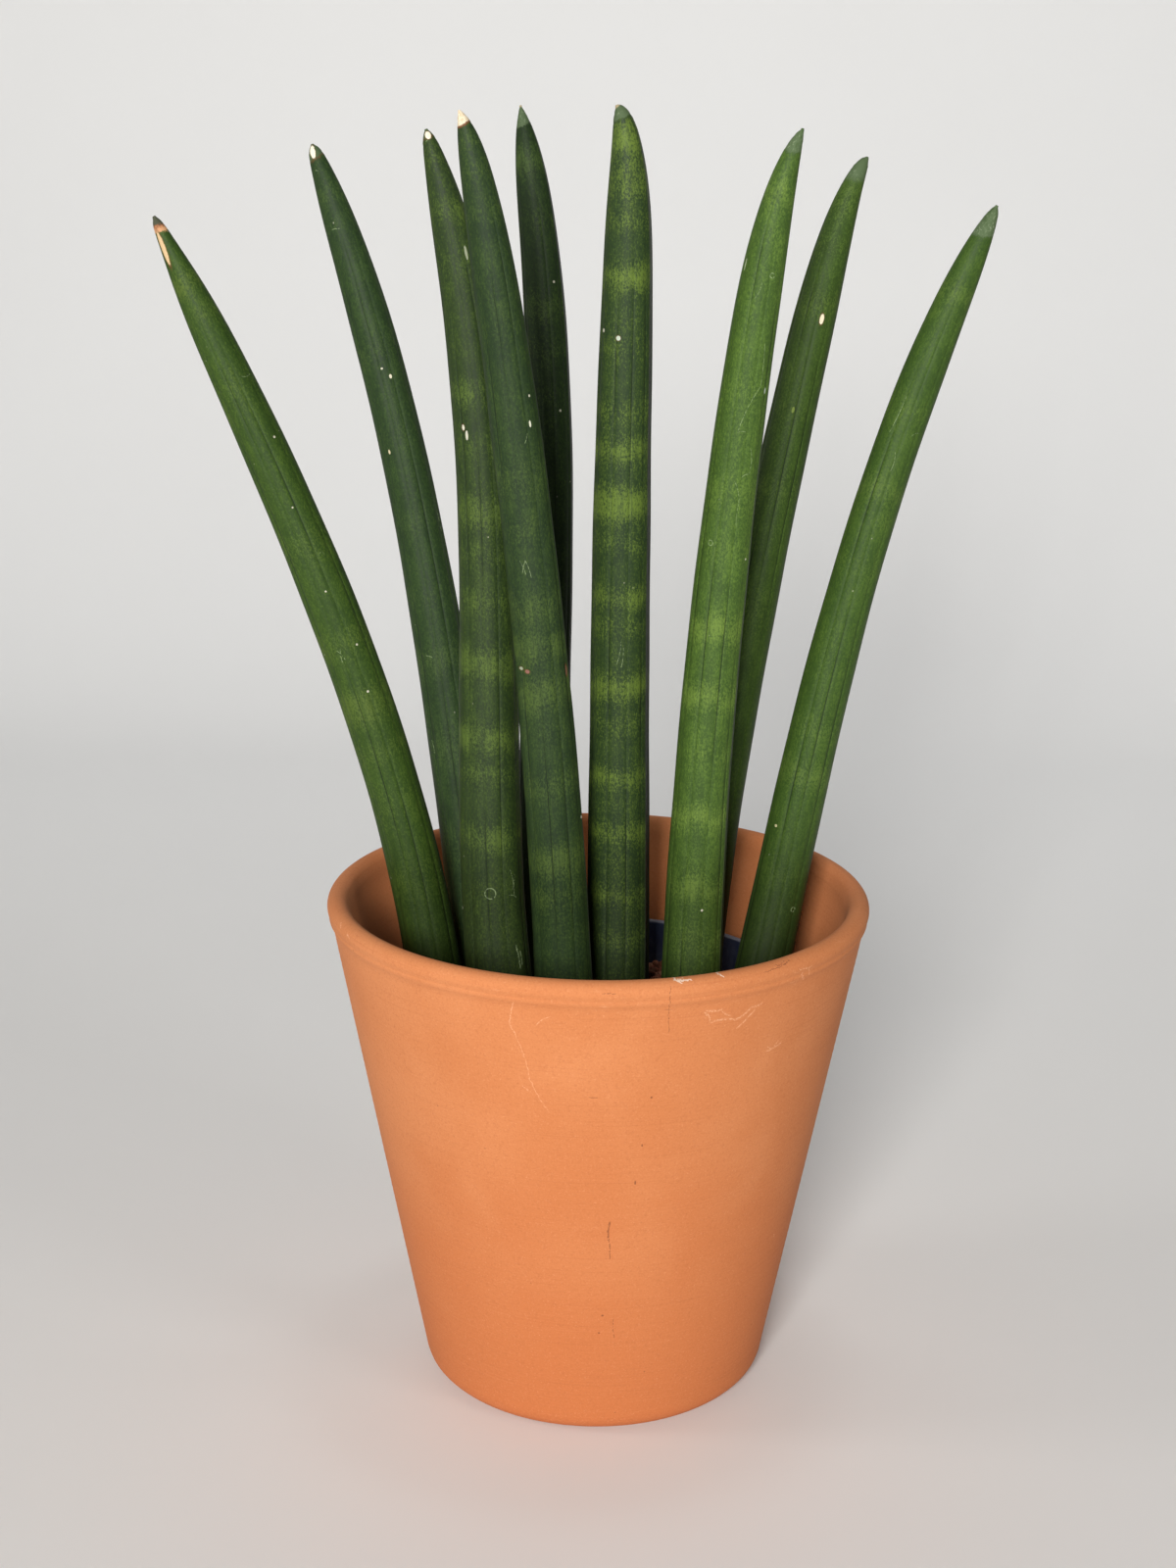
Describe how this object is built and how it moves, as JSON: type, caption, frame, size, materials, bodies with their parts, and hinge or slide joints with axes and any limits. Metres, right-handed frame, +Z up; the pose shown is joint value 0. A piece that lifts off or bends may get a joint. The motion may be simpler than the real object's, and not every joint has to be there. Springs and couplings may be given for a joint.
{
  "type": "cylindrical snake plant in pot",
  "caption": "Potted cylindrical snake plant: round grooved spear leaves in three fans rise from a nursery pot that stands inside a conical terracotta cover pot.",
  "frame": {"origin": "centre of the cover pot's flat underside, on the surface it stands on", "axes": "+Z up through the pot; the leaves spread along X; -Y is the front that the picture shows"},
  "size_m": [0.254, 0.176, 0.4121],
  "materials": {
    "terracotta": "matte unglazed clay with turning lines and pale scratches",
    "navy_plastic": "thin moulded plastic, satin, paler along the rim",
    "clay_granules": "dry baked clay granules, matte and rough",
    "rhizome": "fibrous orange-tan rootstock",
    "leaf_dark": "waxy satin leaf skin, dark blue-green with paler mottled bands",
    "leaf_mid": "waxy satin leaf skin, mid green with yellow-green mottled bands",
    "leaf_bright": "waxy satin leaf skin, bright yellow-green with mottled bands"
  },
  "bodies": {
    "root": {"cover_pot": "terracotta", "nursery_pot": "navy_plastic", "substrate": "clay_granules", "rhizome": "rhizome", "leaf_left_outer": "leaf_mid", "leaf_left_back": "leaf_dark", "leaf_left_inner": "leaf_dark", "leaf_middle_left": "leaf_dark", "leaf_middle_back": "leaf_dark", "leaf_middle_right": "leaf_mid", "leaf_right_inner": "leaf_bright", "leaf_right_back": "leaf_dark", "leaf_right_outer": "leaf_mid"}
  },
  "joints": []
}
